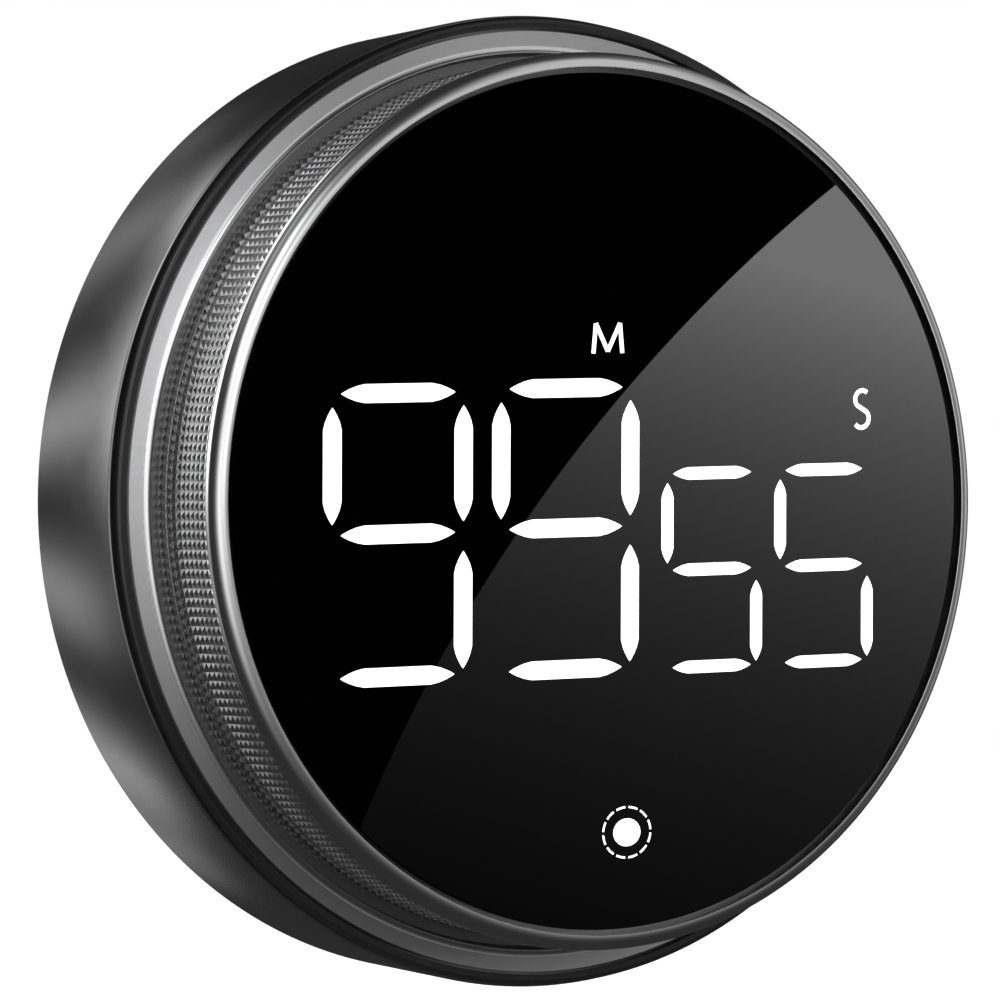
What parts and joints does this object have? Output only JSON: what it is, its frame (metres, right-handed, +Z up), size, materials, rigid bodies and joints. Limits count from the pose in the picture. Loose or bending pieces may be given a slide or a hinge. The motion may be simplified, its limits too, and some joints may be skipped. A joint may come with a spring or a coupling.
{
  "type": "kitchen timer",
  "caption": "Round magnetic kitchen timer with a knurled turning dial, a lit display behind a dark lens, a hinged battery door and a sliding volume switch.",
  "frame": {"origin": "on the dial axis, in the back plane that rests against a steel surface", "axes": "+Y out of the back, along the dial axis; the display faces -Y; +Z is up as the display reads; +X is to the right seen from the front"},
  "size_m": [0.078, 0.0265, 0.078],
  "materials": {
    "housing_paint": "satin dark grey paint",
    "trim_black": "gloss black",
    "dial_aluminium": "brushed flange, cut knurl, polished lip",
    "lens_smoked": "polished, nearly black",
    "plastic_black": "fine matt texture",
    "plastic_white": "smooth",
    "gear_plastic": "natural acetal",
    "film_lit": "white diffusing film, lit",
    "rubber_black": "matt",
    "nickel": "bright nickel plate",
    "steel": "zinc-plated",
    "spring_steel": "bright wire",
    "board": "green solder mask",
    "cell_wrap": "plain wrapped cell"
  },
  "bodies": {
    "timer_body": {"housing_shell": "housing_paint", "trim_ring": "trim_black", "encoder_body": "plastic_black", "bearing_ring": "gear_plastic", "display_carrier": "plastic_black", "main_board": "board", "board_header": "plastic_black", "led_board": "board", "light_guide": "plastic_white", "display_film": "film_lit", "touch_spring": "spring_steel", "lens": "lens_smoked", "battery_tray": "plastic_black", "cell_1": "cell_wrap", "cell_2": "cell_wrap", "cell_3": "cell_wrap", "plate_contact_1": "nickel", "plate_contact_2": "nickel", "plate_contact_3": "nickel", "spring_contact_1": "nickel", "spring_contact_2": "nickel", "spring_contact_3": "nickel", "back_cover": "plastic_black", "foot_ring": "rubber_black", "magnet_1": "nickel", "magnet_2": "nickel", "magnet_3": "nickel", "magnet_4": "nickel", "cover_screw_1": "steel", "cover_screw_2": "steel", "cover_screw_3": "steel", "cover_screw_4": "steel", "carrier_screw_1": "steel", "carrier_screw_2": "steel", "carrier_screw_3": "steel", "board_screw_1": "steel", "board_screw_2": "steel", "volume_switch": "nickel", "buzzer": "plastic_black"},
    "dial": {"dial_ring": "dial_aluminium", "dial_gear": "gear_plastic"},
    "encoder_gear": {"encoder_pinion": "gear_plastic"},
    "battery_door": {"battery_door": "plastic_black"},
    "volume_slider": {"volume_knob": "plastic_white"}
  },
  "joints": [
    {"name": "dial_turn", "type": "hinge", "parent": "timer_body", "child": "dial", "pos_m": [0, -0.0205, 0], "axis": [0, 1, 0], "continuous": true},
    {"name": "encoder_turn", "type": "hinge", "parent": "timer_body", "child": "encoder_gear", "pos_m": [0, -0.017, 0.0255], "axis": [0, 1, 0], "continuous": true},
    {"name": "battery_door_hinge", "type": "hinge", "parent": "timer_body", "child": "battery_door", "pos_m": [0, -0.0017, -0.0169], "axis": [-1, 0, 0], "range_deg": [0, 95]},
    {"name": "volume_slide", "type": "slide", "parent": "timer_body", "child": "volume_slider", "axis": [1, 0, 0], "range_m": [-0.002, 0.002]}
  ],
  "couplings": [
    {"joint": "encoder_turn", "follows": "dial_turn", "ratio": 6.1}
  ]
}
